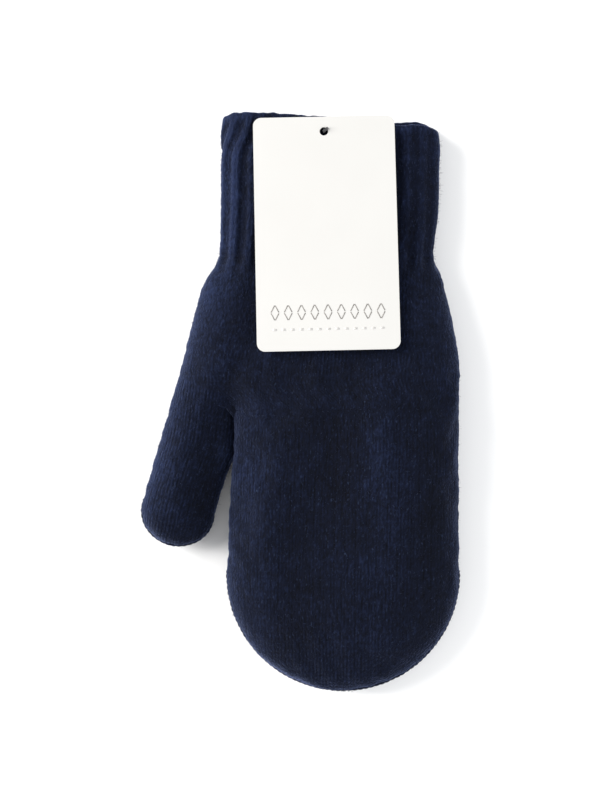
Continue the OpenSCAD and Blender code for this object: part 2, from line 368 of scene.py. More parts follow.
def lofted(name, rings, relief, cap_start, cap_end):
    """A mesh through rings of equal size. A cap is a fan to its middle; no caps joins last to first."""
    count, cols = rings.shape[:2]
    verts = rings.reshape(-1, 3)
    marks = relief.reshape(-1)
    index = np.arange(count * cols).reshape(count, cols)
    faces = []
    for k in range(count - 1):
        faces += ring_faces(index[k], index[k + 1])
    if cap_start or cap_end:
        ends = []
        for wanted, ring, flip in ((cap_start, 0, True), (cap_end, count - 1, False)):
            if wanted:
                ends.append(rings[ring].mean(0))
                centre = count * cols + len(ends) - 1
                loop = index[ring]
                nxt = np.roll(loop, -1)
                fans = np.stack([loop, nxt, np.full(cols, centre)], 1)
                faces += (fans[:, ::-1] if flip else fans).tolist()
        verts = np.concatenate([verts, ends])
        marks = np.concatenate([marks, np.full(len(ends), 0.5)])
    else:
        faces += ring_faces(index[-1], index[0])
    obj = new_object(name, verts, faces, marks, True)
    face_out(obj)
    return obj


def face_out(obj):
    """Turns the faces so that they all point outwards."""
    work = bmesh.new()
    work.from_mesh(obj.data)
    bmesh.ops.recalc_face_normals(work, faces=work.faces)
    work.to_mesh(obj.data)
    work.free()


INNER_STEP = 12  # rows of the outer face for each one of the inner


def shell_rings(skin, lift, last_row):
    """The rings of the outer face, and those of the inner one from its closed end to the opening."""
    outer = skin.points + skin.normals() * lift[..., None]
    inner_rows = np.arange(last_row, -1, -INNER_STEP)
    if inner_rows[-1] != 0:
        inner_rows = np.append(inner_rows, 0)
    return outer, skin.inset(inner_rows, SHELL)


# soft folds and hollows, each given by its centre, half-width, half-length, lean from +Y in degrees,
# height, and painted light: how much lighter (painted light) or darker (painted shade) the knit's colour
# is made there. This paints in the light and shade of each fold, and the shade on the thumb's inner
# side. Those without height only lighten the colour as painted light towards the lit side and edges, and
# do so in every view
FOLDS = (
    (-17, -52, 10, 56, -3, 0.9, 0.8), (12, -30, 12, 32, 6, -1.3, -1.2),
    (-1, -88, 13, 30, 0, -0.7, -0.7), (37, -32, 9, 38, -4, 1.4, 0.9),
    (22, -82, 10, 18, 8, 0.7, 0.5), (56, -62, 9, 52, 3, -1.1, -1.3),
    (-37.5, -28, 5, 26, 14, -1.2, -1.0), (-61, -20, 5, 36, 14, 0.0, 3.0),
    (-52, -24, 6, 24, 14, 0.8, 1.2),
    (-36, 30, 8, 24, 15, 0.8, 0.6), (-22, 22, 8, 20, 12, -0.9, -0.6), (-44, 38, 5, 30, 18, 0.0, 2.0),
    (46, 40, 9, 26, -12, 0.9, 0.4), (30, 52, 6, 16, -8, -0.7, -0.4), (-8, 50, 6, 14, 8, 0.7, 0.3),
    (-30, 92, 9, 44, 0, 0.0, 2.2), (-31, -62, 4, 50, -2, 0.0, 1.6),
    (52, 108, 12, 12, 0, 0.0, 0.8), (68, -20, 3, 60, 0, 0.0, 0.1),
)
# columns of height and of painted light and shade, and how far the painted light and shade move the
# knit's colour
HEIGHT, PAINTED_LIGHT_COLUMN = 5, 6
PAINTED_LIGHT_TINT = 0.060


def folds(x, y, which):
    """The soft folds over the floor plan: their height in mm, or their painted light and shade."""
    total = np.zeros_like(x)
    for row in FOLDS:
        cx, cy, wide, long, lean = row[:5]
        c, s = math.cos(math.radians(lean)), math.sin(math.radians(lean))
        across, along = (x - cx) * c - (y - cy) * s, (x - cx) * s + (y - cy) * c
        total += row[which] * np.exp(-((across / wide) ** 2) - (along / long) ** 2)
    return total


def paint_light_and_shade(obj):
    """Marks where the knit's colour gets painted light and painted shade, from the folds' table."""
    co = np.empty(len(obj.data.vertices) * 3)
    obj.data.vertices.foreach_get("co", co)
    co = co.reshape(-1, 3) / METRE
    painted_light = obj.data.attributes.new("painted_light", "FLOAT", "POINT")
    painted_light.data.foreach_set("value", folds(co[:, 0], co[:, 1], PAINTED_LIGHT_COLUMN).astype(np.float32))
    return obj


def knit_shell(name, skin, lift, marks, last_row):
    """A pocket of knit: outer face with its relief, plain inner face, open at the first row."""
    outer, inner = shell_rings(skin, lift, last_row)
    # one chain of rings: closed tip of the outer face, its open edge, the inner face, its closed end
    chain = np.concatenate([outer[::-1], inner[::-1]])
    marks = np.concatenate([marks[::-1], np.full(inner.shape[:2], 0.4)])
    return paint_light_and_shade(lofted(name, chain, marks, True, True))


def lining_shell(name, skin, first_row, last_row, row_step, col_step):
    """The lining inside a shell: a coarser pocket, knitted on its inner face."""
    start = SHELL + LAYER_GAP
    rows = np.arange(first_row, last_row + 1, row_step)
    weave = stockinette(skin.u[rows], skin.v[rows], 50)[:, ::col_step]
    outer = skin.inset(rows, start)[:, ::col_step]
    inner = skin.inset(rows, start + LINING)[:, ::col_step]
    chain = np.concatenate([outer[::-1], inner])
    marks = np.concatenate([np.full(outer.shape[:2], 0.4), weave])
    return lofted(name, chain, marks, True, True)


def place_thumb(points):
    """From the thumb's own drawing to the row frame."""
    c, s = math.cos(-THUMB_LEAN), math.sin(-THUMB_LEAN)
    x = points[..., 0] * c - points[..., 1] * s + THUMB_ROOT[0]
    y = points[..., 0] * s + points[..., 1] * c + THUMB_ROOT[1]
    return np.stack([x, y, points[..., 2]], -1)


# ---------------------------------------------------------------- materials
def material(name, base, roughness, build=None, **sockets):
    m = bpy.data.materials.new(name)
    m.use_nodes = True
    tree = m.node_tree
    shader = tree.nodes["Principled BSDF"]
    shader.inputs["Base Color"].default_value = (*base, 1)
    shader.inputs["Roughness"].default_value = roughness
    for socket, value in sockets.items():
        shader.inputs[socket.replace("_", " ")].default_value = value
    if build:
        build(tree, shader)
    return m


def node(tree, kind, inputs=(), **settings):
    n = tree.nodes.new(kind)
    for key, value in settings.items():
        setattr(n, key, value)
    for key, value in dict(inputs).items():
        if isinstance(value, bpy.types.NodeSocket):
            tree.links.new(value, n.inputs[key])
        else:
            n.inputs[key].default_value = value
    return n


def on_object(tree):
    return node(tree, "ShaderNodeTexCoord").outputs["Object"]


def noise(tree, at, scale, detail, roughness=0.5):
    values = {"Vector": at, "Scale": scale, "Detail": detail, "Roughness": roughness}
    return node(tree, "ShaderNodeTexNoise", values).outputs["Fac"]


def scaled_sum(tree, value, times, plus=0.0):
    values = {0: value, 1: times, 2: plus}
    return node(tree, "ShaderNodeMath", values, operation="MULTIPLY_ADD").outputs[0]


def mapping(tree, at, **values):
    return node(tree, "ShaderNodeMapping", {"Vector": at, **values}).outputs["Vector"]


def attribute(tree, name):
    return node(tree, "ShaderNodeAttribute", attribute_name=name).outputs["Fac"]


def bump(tree, shader, height, strength, distance):
    values = {"Height": height, "Strength": strength, "Distance": distance}
    tree.links.new(node(tree, "ShaderNodeBump", values).outputs["Normal"], shader.inputs["Normal"])


def ramp(tree, fac, stops):
    n = node(tree, "ShaderNodeValToRGB", {"Fac": fac})
    elements = n.color_ramp.elements
    while len(elements) < len(stops):
        elements.new(0.5)
    for element, (place, colour) in zip(elements, stops):
        element.position = place
        element.color = (*colour, 1)
    return n.outputs["Color"]


def knit_nodes(dark, mid, light, lean, rough_bump, relief_shading=0.20):
    """Brushed wool: streaks of fibre along the columns, flecks, painted shade on the sunken yarn and
    painted light on the raised yarn from the relief, and the folds' painted light and shade.
    """

    def build(tree, shader):
        turned = mapping(tree, on_object(tree), Rotation=(0, 0, lean))
        along = mapping(tree, turned, Scale=(1, 0.36, 1))
        streak = noise(tree, along, 900, 5, 0.62)
        fleck = noise(tree, along, 2300, 2)
        patch = noise(tree, turned, 55, 3)
        mix = scaled_sum(tree, streak, 0.55)
        # painted shade in the relief's hollows and painted light on its crests
        mix = scaled_sum(tree, attribute(tree, "relief"), relief_shading, mix)
        mix = scaled_sum(tree, patch, 0.22, mix)
        # the folds' painted light and painted shade
        mix = scaled_sum(tree, attribute(tree, "painted_light"), PAINTED_LIGHT_TINT, mix)
        colour = ramp(tree, mix, ((0.36, dark), (0.53, mid), (0.78, light)))
        # the lightest fibre ends show as small flecks
        ends = noise(tree, along, 1500, 1, 0.4)
        speck = node(
            tree, "ShaderNodeMapRange",
            {"Value": ends, "From Min": 0.66, "From Max": 0.80, "To Max": 0.40},
        ).outputs["Result"]
        colour = node(
            tree, "ShaderNodeMix", {0: speck, 6: colour, 7: (*NAVY_FLECK, 1)}, data_type="RGBA"
        ).outputs[2]
        tree.links.new(colour, shader.inputs["Base Color"])
        bump(tree, shader, scaled_sum(tree, streak, 1.0, fleck), rough_bump, 0.00035)

    return build


def lighter(colour, times):
    return tuple(c * times for c in colour)


NAVY_DARK = (0.0006, 0.0011, 0.0037)
NAVY = (0.0021, 0.0037, 0.0114)
NAVY_LIGHT = (0.0100, 0.0162, 0.0450)
NAVY_FLECK = (0.028, 0.042, 0.088)
# the cuff's knit is coloured 1.25 times lighter than the hand's: partly the ribbed knit's own lighter
# look, partly painted light for its ribs that face the light
CUFF_LIGHTER = 1.25
SHEEN = {"Sheen_Weight": 0.43, "Sheen_Roughness": 0.36, "Sheen_Tint": (0.42, 0.53, 0.98, 1)}


def navy_knit(name, lean=0, times=1, relief_shading=0.20):
    colours = [lighter(colour, times) for colour in (NAVY_DARK, NAVY, NAVY_LIGHT)]
    nodes = knit_nodes(*colours, lean, 0.9, relief_shading)
    return material(name, NAVY, 0.92, nodes, Specular_IOR_Level=0.10, **SHEEN)


knit_navy = navy_knit("brushed_navy_knit")
knit_thumb = navy_knit("brushed_navy_thumb_knit", THUMB_LEAN)
# a lighter copy of the navy knit for the cuff, partly painted light, with less painted shade from its
# ribs' relief
knit_cuff = navy_knit("brushed_navy_rib_knit", 0, CUFF_LIGHTER, 0.17)
knit_lining = material(
    "navy_lining_knit", NAVY_DARK, 0.95,
    knit_nodes(NAVY_DARK, (0.009, 0.012, 0.024), (0.02, 0.026, 0.048), 0, 0.5), Specular_IOR_Level=0.12,
)
thread_navy = material(
    "navy_linking_thread", NAVY, 0.85,
    knit_nodes(NAVY_DARK, NAVY, NAVY_LIGHT, 0, 0.6), Specular_IOR_Level=0.2, **SHEEN,
)


def fibre_nodes(tree, shader):
    dye = noise(tree, on_object(tree), 420, 2)
    colour = ramp(tree, dye, ((0.35, (0.012, 0.017, 0.038)), (0.65, (0.034, 0.046, 0.092))))
    tree.links.new(colour, shader.inputs["Base Color"])


def paper_nodes(tree, shader):
    cloud = noise(tree, on_object(tree), 38, 2)
    colour = ramp(tree, cloud, ((0.3, (0.560, 0.553, 0.536)), (0.7, (0.571, 0.564, 0.547))))
    tree.links.new(colour, shader.inputs["Base Color"])
    bump(tree, shader, noise(tree, on_object(tree), 1800, 4), 0.25, 0.00006)


def nylon_nodes(tree, shader):
    haze = noise(tree, on_object(tree), 700, 2)
    rough = node(tree, "ShaderNodeMapRange", {"Value": haze, "To Min": 0.22, "To Max": 0.42})
    tree.links.new(rough.outputs["Result"], shader.inputs["Roughness"])


def elastic_nodes(tree, shader):
    wrap = node(
        tree, "ShaderNodeTexWave", {"Vector": on_object(tree), "Scale": 900, "Distortion": 1.0}
    ).outputs["Fac"]
    bump(tree, shader, wrap, 0.5, 0.0001)
    colour = ramp(tree, wrap, ((0.0, (0.012, 0.012, 0.014)), (1.0, (0.035, 0.035, 0.04))))
    tree.links.new(colour, shader.inputs["Base Color"])


def ink_nodes(thin, full):
    def build(tree, shader):
        press = noise(tree, on_object(tree), 2500, 2)
        tree.links.new(ramp(tree, press, ((0.3, full), (0.7, thin))), shader.inputs["Base Color"])

    return build


fibre_navy = material("loose_navy_fibre", (0.02, 0.028, 0.06), 0.8, fibre_nodes, Specular_IOR_Level=0.15)
card_paper = material("tag_card", (0.56, 0.555, 0.54), 0.6, paper_nodes, Specular_IOR_Level=0.2)
clear_nylon = material("clear_nylon", (0.16, 0.16, 0.17), 0.3, nylon_nodes, Transmission_Weight=0.75)
cord_elastic = material("covered_elastic", (0.02, 0.02, 0.024), 0.8, elastic_nodes)
grey_ink = material(
    "grey_ink", (0.2, 0.19, 0.18), 0.6, ink_nodes((0.24, 0.225, 0.21), (0.17, 0.16, 0.15))
)
pale_ink = material(
    "pale_ink", (0.5, 0.49, 0.47), 0.6, ink_nodes((0.56, 0.545, 0.53), (0.46, 0.45, 0.43))
)


def finish_piece(obj, mat, body, slot, *nodes_replaced):
    """Gives a piece its material and its body (None for pieces whose places are only baked in
    afterwards), and hides the nodes it replaces; the slot is not used.
    """
    obj.data.materials.append(mat)
    if body:
        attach(obj, body)
    if nodes_replaced:
        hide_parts(*nodes_replaced)
    return obj


# ---------------------------------------------------------------- the whole outline, and heights over it
# how far in the edges' rounding reaches, and how high the edges lie as a share of the height
HAND_ROUND, THUMB_ROUND, CUFF_ROUND = 21.0, 15.5, 16.0
HAND_BELLY, CUFF_BELLY = 0.43, 0.48
RELIEF, RIB_DEPTH = 0.36, 1.1
SEAM_BACK = 3.5  # how far the thumb's join lies from the seam line towards the cuff
THUMB_STEP = 0.5
# ends of the line across the gusset where the thumb's own knit begins
SEAM_A, SEAM_B = np.array([-52.6, 6.8]), np.array([-27.8, -3.0])
hand_ys = row_places(WRIST_Y + 3, TIP_Y, TIP_END, 0.70, 96)
thumb_ys = row_places(THUMB_SINK, THUMB_ARC_Y, -THUMB_LEN, THUMB_STEP, 44)


def hand_edges(y):
    return arc_edges(y, TIP_Y, TIP_END, hand_left, hand_right)


def thumb_edges(y):
    return arc_edges(y, THUMB_ARC_Y, -THUMB_LEN, thumb_left, thumb_right)


def whole_outline():
    """The mitten's outline in plan below the cuff: gusset, round the thumb, crotch, round the hand."""
    ys = np.linspace(WRIST_Y + 6, 13.2, 40)
    gusset = np.stack([hand_left(ys), ys], 1)
    ys = thumb_ys[thumb_ys < 7.5][::2]
    xl, _ = thumb_edges(ys)
    outer = place_thumb(np.stack([xl, ys, 0 * ys], 1))[:, :2]
    ys = thumb_ys[thumb_ys < -2][::2]
    _, xr = thumb_edges(ys)
    inner = place_thumb(np.stack([xr, ys, 0 * ys], 1))[::-1][:, :2]
    ys = hand_ys[hand_ys < -6][::2]
    xl, _ = hand_edges(ys)
    left = np.stack([xl, ys], 1)
    ys = hand_ys[::2]
    _, xr = hand_edges(ys)
    right = np.stack([xr, ys], 1)[::-1]
    return np.concatenate([gusset, outer, inner, left, right])


OUTLINE = whole_outline()


def past_seam(x, y):
    """Distance past the thumb's seam line, and offset from the thumb's axis towards the hand."""
    along = (SEAM_B - SEAM_A) / np.linalg.norm(SEAM_B - SEAM_A)
    s = (x - SEAM_A[0]) * along[1] - (y - SEAM_A[1]) * along[0]
    lean = (math.cos(THUMB_LEAN), -math.sin(THUMB_LEAN))
    o = (x - THUMB_ROOT[0]) * lean[0] + (y - THUMB_ROOT[1]) * lean[1]
    return s, o


def body_form(x, y, on_thumb=False):
    s, o = past_seam(x, y)
    w = smooth((s + 20) / 26) * smooth((19 - o) / 11)
    t = (x - THUMB_ROOT[0]) * -math.sin(THUMB_LEAN) + (y - THUMB_ROOT[1]) * -math.cos(THUMB_LEAN)
    if on_thumb:
        w = np.maximum(w, smooth(s / 9))
    h = hand_height(y) * (1 - w) + thumb_height(-t) * w
    cuffish = smooth((y - WRIST_Y + 24) / 24)
    # the thumb's crest is nearer its outer side, and slopes down towards the hand
    slope = 1 + 1.1 * smooth((o + 5) / 14) * smooth(t / 14) if on_thumb else 1
    radius = HAND_ROUND * (1 - w) + THUMB_ROUND * slope * w
    radius = radius * (1 - cuffish) + CUFF_ROUND * cuffish
    belly = HAND_BELLY * (1 - cuffish) + CUFF_BELLY * cuffish
    inward = distance_to(OUTLINE, x, y)
    inward = np.where(inward < 0.04, 0, inward)
    return filled(h, belly, inward, radius)


def loosen(skin):
    """The soft unevenness of a filled knit, the same over hand and thumb; none of it underneath."""
    p = skin.points
    x, y = p[..., 0].copy(), p[..., 1].copy()
    above = smooth(p[..., 2] / HAND_T * 1.8)
    p[..., 2] += above * (
        0.45 * ripple(x, y, 70, 3) + 0.30 * ripple(x, y, 24, 4) + 0.18 * ripple(x, y, 9, 6)
    )
    p[..., 2] += above * folds(x, y, HEIGHT)
    n = skin.normals()
    lumps = 0.34 * ripple(x, y, 5, 7) + 0.10 * ripple(x, y, 14, 8)
    skin.points = p + n * (lumps * (1 - n[..., 2] ** 2) * smooth(p[..., 2] / 2.5))[..., None]
    return skin


SETTLE_FRAMES = 16
SETTLE_MOST = 2.0  # the furthest that the cloth may move the knit
SETTLE_SIDEWAYS = 0.22  # share of its sideways movement that is kept, to hold the outline


def settle(skin, row_step, col_step, held):
    """Fills the knit out by a short cloth simulation on a coarse copy of its surface.

    The copy is blown up from inside while `held` (1 held, 0 free) keeps the edges that meet other
    pieces and the face that rests on the floor; its movement, capped, is carried over to the skin.
    """
    count, cols = skin.points.shape[:2]
    rows = np.unique(np.append(np.arange(0, count, row_step), count - 1))
    picked = np.arange(0, cols, col_step)
    start = skin.points[rows][:, picked] * METRE
    index = np.arange(start.shape[0] * start.shape[1]).reshape(start.shape[:2])
    faces = []
    for k in range(len(rows) - 1):
        faces += ring_faces(index[k], index[k + 1], True)
    mesh = bpy.data.meshes.new("settling")
    mesh.from_pydata(start.reshape(-1, 3).tolist(), [], faces)
    obj = bpy.data.objects.new("settling", mesh)
    bpy.context.scene.collection.objects.link(obj)
    group = obj.vertex_groups.new(name="held")
    for i, weight in enumerate(held[rows][:, picked].reshape(-1)):
        group.add([i], float(weight), "REPLACE")
    cloth = obj.modifiers.new("cloth", "CLOTH")
    values = cloth.settings
    values.quality = 6
    values.mass = 0.25
    values.tension_stiffness = values.compression_stiffness = 12
    values.shear_stiffness = 6
    values.bending_stiffness = 0.08
    values.vertex_group_mass = "held"
    values.shrink_min = -0.035
    values.use_pressure = True
    values.uniform_pressure_force = 4
    values.effector_weights.gravity = 0
    cloth.point_cache.frame_start, cloth.point_cache.frame_end = 1, SETTLE_FRAMES
    for frame_number in range(1, SETTLE_FRAMES + 1):
        bpy.context.scene.frame_set(frame_number)
    settled = obj.evaluated_get(bpy.context.evaluated_depsgraph_get())
    co = np.empty(len(settled.data.vertices) * 3)
    settled.data.vertices.foreach_get("co", co)
    moved = (co.reshape(start.shape) - start) / METRE
    bpy.data.objects.remove(obj)
    bpy.data.meshes.remove(mesh)
    bpy.context.scene.frame_set(1)
    length = np.linalg.norm(moved, axis=2, keepdims=True)
    moved = moved * (SETTLE_MOST * np.tanh(length / SETTLE_MOST) / np.maximum(length, 1e-6))
    moved[..., :2] *= SETTLE_SIDEWAYS
    # from the coarse rows and columns to the fine ones
    wrapped = np.concatenate([moved, moved[:, :1]], 1)
    at_cols = np.append(picked, cols)
    fine = np.empty((len(rows), cols, 3))
    for k in range(len(rows)):
        for axis in range(3):
            fine[k, :, axis] = np.interp(np.arange(cols), at_cols, wrapped[k, :, axis])
    full = np.empty(skin.points.shape)
    for j in range(cols):
        for axis in range(3):
            full[:, j, axis] = np.interp(np.arange(count), rows, fine[:, j, axis])
    for _ in range(row_step):
        full = (np.roll(full, 1, 1) + full + np.roll(full, -1, 1)) / 3
        full[1:-1] = (full[:-2] + full[1:-1] + full[2:]) / 3
    skin.points = skin.points + full
    skin.points[..., 2] = np.maximum(skin.points[..., 2], 0)
    return skin


# ---------------------------------------------------------------- hand
def make_hand():
    skin = loosen(pillow(hand_ys, hand_edges, body_form, 176, 108))
    p = skin.points
    s, o = past_seam(p[..., 0], p[..., 1])
    # held: under the tag and on to the wrist, the underside, and where the thumb comes out
    held = np.maximum(smooth((p[..., 1] - 8) / 12), smooth((1.6 - p[..., 2]) / 1.0))
    held = np.maximum(held, smooth((s + SEAM_BACK + 12) / 8) * smooth((24 - o) / 8))
    skin = settle(skin, 8, 4, held)
    p = skin.points
    s, o = past_seam(p[..., 0], p[..., 1])
    under_thumb = smooth((s + SEAM_BACK + 0.2) / 3.0) * smooth((12.5 - o) / 3)
    under_cuff = smooth((p[..., 1] - WRIST_Y) / 3.0)
    skin.points = skin.inset(slice(None), 1.3 * under_thumb + 0.9 * under_cuff)
    plain = stockinette(skin.u, skin.v, 11)
    plain = plain + 0.22 * grain(plain.shape, 12)
    # the cuff's ribs run out over the first centimetre of the hand
    rib = ribbing(skin.u, p[..., 1] - WRIST_Y, 32)
    share = smooth((p[..., 1] - WRIST_Y + 11) / 11)
    lift = plain * RELIEF * (1 - share) + (rib - 0.75) * RIB_DEPTH * share
    last = int(np.searchsorted(-hand_ys, -(TIP_END + 7)))
    shell = knit_shell("hand_knit", skin, lift, plain * (1 - share) + rib * share, last)
    lining = lining_shell("hand_lining_knit", skin, 8, last - 6, 7, 3)
    finish_piece(shell, knit_navy, "mitten", "navy_knit", "hand_shell")
    finish_piece(lining, knit_lining, "mitten", "lining_knit", "hand_lining")
    return skin


def blend_thumb(obj):
    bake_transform(obj)


def thumb_form(x, y):
    plan = place_thumb(np.stack([x, y, 0 * x], -1))
    return body_form(plan[..., 0], plan[..., 1], True)


def make_thumb():
    drawn = pillow(thumb_ys, thumb_edges, thumb_form, 92, 60)
    skin = loosen(Skin(place_thumb(drawn.points), drawn.u, drawn.v, drawn.top))
    p = skin.points
    s, o = past_seam(p[..., 0], p[..., 1])
    in_gusset = np.maximum(
        smooth((0.2 - SEAM_BACK - s) / 3.0), smooth((o - 9.5) / 3) * smooth((2.5 - s) / 3)
    )
    skin.points = skin.inset(slice(None), 1.3 * in_gusset)
    # the thumb leans on the hand's side below the crotch
    along = -drawn.points[..., 1]
    lean_on = smooth((along - 3) / 4) * smooth((26 - along) / 7) * smooth((drawn.points[..., 0] - 6) / 8)
    toward = np.array([math.cos(THUMB_LEAN), -math.sin(THUMB_LEAN), 0.0])
    skin.points = skin.points + toward * (1.15 * lean_on)[..., None]
    relief = stockinette(skin.u, skin.v, 22)
    relief = relief + 0.22 * grain(relief.shape, 23)
    last = int(np.searchsorted(-thumb_ys, THUMB_LEN - 6))
    shell = knit_shell("thumb_knit", skin, relief * 0.8 * RELIEF, relief, last)
    lining = lining_shell("thumb_lining_knit", skin, 2, last - 4, 6, 3)
    # the join's thread lies where the thumb comes out of the gusset
    first = np.argmax(s > -SEAM_BACK, axis=0)
    loop = skin.inset(slice(None), 0.35)[first, np.arange(len(first))]
    for _ in range(4):
        loop = (np.roll(loop, 1, 0) + loop + np.roll(loop, -1, 0)) / 3
    seam = thread_along("thumb_join_seam_thread", np.concatenate([loop, loop[:1]]), 0.34, 2.4, 43)
    finish_piece(seam, thread_navy, None, "linking_thread", "thumb_join_seam")
    blend_thumb(seam)
    finish_piece(shell, knit_thumb, None, "navy_knit", "thumb_shell")
    finish_piece(lining, knit_lining, None, "lining_knit", "thumb_lining")
    blend_thumb(shell)
    blend_thumb(lining)
    return skin


# ---------------------------------------------------------------- cuff
CUFF_WALL = 2.5
CUFF_START = WRIST_Y - 3.0
rim_front = spline(
    (-35, 118.6), (-33.5, 120.6), (-31, 121.5), (-19, 122.0), (0, 120.9), (19, 119.2), (41, 116.3),
    (57, 115.9), (60, 114.6),
)
rim_back = spline(
    (-35, 118.6), (-31, 121.0), (-19, 121.4), (0, 120.8), (19, 120.0), (36, 119.6), (46, 120.5),
    (54, 119.9), (60, 115.4),
)


def make_cuff():
    length = 60.0
    ys = np.linspace(0, length, 96)
    left = spline((0, -34.5), (3, -34.7), (9, -34.3), (20, -34.2), (50, -34.0), (57, -33.8), (60, -33.0))
    right = spline((0, 58.6), (3, 57.8), (9, 58.2), (20, 59.6), (45, 60.4), (57, 60.4), (60, 59.6))
    height = spline((0, CUFF_T - 0.3), (30, CUFF_T - 0.9), (60, CUFF_T - 1.6))

    def edges(y):
        return left(y), right(y)

    def form(x, y):
        inward = np.minimum(x - left(y), right(y) - x)
        return filled(height(y), CUFF_BELLY, inward, CUFF_ROUND)

    skin = pillow(ys, edges, form, 200, 150)
    p = skin.points
    share = p[..., 1] / length
    # from the front's rim to the back's round the cuff's sides
    level = smooth((p[..., 2] / CUFF_T - 0.2) / 0.4)
    rim = rim_back(p[..., 0]) * (1 - level) + rim_front(p[..., 0]) * level
    rim = rim + 0.45 * ripple(p[..., 0], 9 * level, 5.5, 37)
    p[..., 1] = CUFF_START + share * (rim - CUFF_START)
    above = smooth(p[..., 2] / CUFF_T * 1.6)
    p[..., 2] += above * 0.35 * ripple(p[..., 0], p[..., 1], 45, 31) * smooth((p[..., 1] - WRIST_Y) / 10)
    u, v = skin.u, p[..., 1] - WRIST_Y
    # the ribs lean to the right next to the rim's left corner
    bend = 6.5 * smooth((share - 0.70) / 0.30) * smooth((-u - 18) / 20)
    rib = ribbing(u - bend, v, 32)
    # the ribs lie flatter on the right, and run into a firm edge at the rim
    flatter = 1 - 0.40 * smooth((u - 5) / 25) * smooth(p[..., 2] / 8)
    edge = smooth((share - 0.93) / 0.06)
    bead = 1.15 + 0.30 * ripple(u, v, 5, 36)
    relief = 0.62 + (rib - 0.62) * flatter
    relief = relief * (1 - 0.7 * edge) + bead * 0.7 * edge + 0.08 * grain(rib.shape, 33)
    n = skin.normals()
    sunk = 0.9 * smooth((WRIST_Y - p[..., 1]) / 3.0)
    outer = p + n * ((relief - 0.75) * RIB_DEPTH - sunk)[..., None]
    # roll over the rim, then back down inside
    rim_edge, edge_n = outer[-1], n[-1].copy()
    edge_n[:, 1] = 0
    edge_n /= np.linalg.norm(edge_n, axis=1, keepdims=True)
    radius = CUFF_WALL / 2
    forward = np.array([0.0, 1.0, 0.0])
    rolls = [
        rim_edge + forward * radius * math.sin(t) - edge_n * radius * (1 - math.cos(t))
        for t in np.radians(np.linspace(20, 180, 9))
    ]
    inner_rows = np.arange(len(ys) - 3, -1, -6)
    inner = skin.inset(inner_rows, np.where(inner_rows < 5, 2.0, CUFF_WALL + 0.25 * RIB_DEPTH))
    chain = np.concatenate([outer, np.array(rolls), inner])
    marks = np.concatenate([
        relief, np.repeat(relief[-1:], len(rolls), 0), np.full(inner.shape[:2], 0.45),
    ])
    obj = paint_light_and_shade(lofted("ribbed_cuff_knit", chain, marks, False, False))
    finish_piece(obj, knit_cuff, "mitten", "navy_knit", "ribbed_cuff")
    facing_rows = np.arange(3, len(ys) - 6, 3)
    start, end = CUFF_WALL + 0.45, CUFF_WALL + 0.45 + LINING
    rib = ribbing(u[facing_rows][:, ::2], v[facing_rows][:, ::2], 35)
    outside = skin.inset(facing_rows, start)[:, ::2]
    inside = skin.inset(facing_rows, end)[:, ::2] + n[facing_rows][:, ::2] * 0.5 * rib[..., None]
    facing = lofted(
        "cuff_facing_knit", np.concatenate([outside, inside[::-1]]),
        np.concatenate([np.full(rib.shape, 0.4), rib[::-1]]), False, False,
    )
    finish_piece(facing, knit_lining, "mitten", "lining_knit", "cuff_facing")
    return skin


# ---------------------------------------------------------------- seams
def thread_along(name, path, radius, pitch, seed):
    """Overcast thread on a path: a closed tube that swells and turns once a stitch."""
    step = np.linalg.norm(np.diff(path, axis=0), axis=1)
    s = np.concatenate([[0], np.cumsum(step)])
    q = np.linspace(0, s[-1], int(s[-1] / 0.3))
    line = np.stack([np.interp(q, s, path[:, k]) for k in range(3)], 1)
    ahead = np.gradient(line, axis=0)
    ahead /= np.linalg.norm(ahead, axis=1, keepdims=True)
    up = np.array([0.0, 0.0, 1.0])
    side = np.cross(ahead, up)
    side /= np.maximum(np.linalg.norm(side, axis=1, keepdims=True), 1e-9)
    rise = np.cross(side, ahead)
    wobble = 1 + 0.12 * ripple(q, 0 * q, 6, seed)
    stitch = q / pitch
    turns = np.linspace(0, 2 * np.pi, 13)[:-1]
    swell = radius * wobble[:, None] * (
        0.72 + 0.38 * np.abs(np.cos(np.pi * stitch[:, None] - turns[None, :] * 0.5))
    )
    rings = (
        line[:, None]
        + side[:, None] * (np.cos(turns)[None, :] * swell)[..., None]
        + rise[:, None] * (np.sin(turns)[None, :] * swell)[..., None]
    )
    return lofted(name, rings, swell / swell.max(), True, True)


def tip_path(ys, edges, height, belly, outset, first):
    """The outline round a closed end, from its left side to its right."""
    keep = ys[ys <= first]
    xl, xr = edges(keep)
    z = height(keep) * belly
    left = np.stack([xl - outset, keep, z], 1)
    right = np.stack([xr + outset, keep, z], 1)[::-1]
    return np.concatenate([left, right])


def make_seams():
    path = tip_path(hand_ys, hand_edges, hand_height, HAND_BELLY, -0.1, TIP_Y + 2)
    obj = thread_along("fingertip_seam_thread", path, 0.75, 2.4, 41)
    finish_piece(obj, thread_navy, "mitten", "linking_thread", "fingertip_seam")
    path = place_thumb(tip_path(thumb_ys, thumb_edges, thumb_height, 0.45, -0.1, THUMB_ARC_Y + 2))
    obj = thread_along("thumb_tip_seam_thread", path, 0.7, 2.4, 42)
    finish_piece(obj, thread_navy, None, "linking_thread", "thumb_tip_seam")
    blend_thumb(obj)


# ---------------------------------------------------------------- loose fibres
FIBRE_LONGEST, FIBRE_WIDTH = 2.6, 0.05


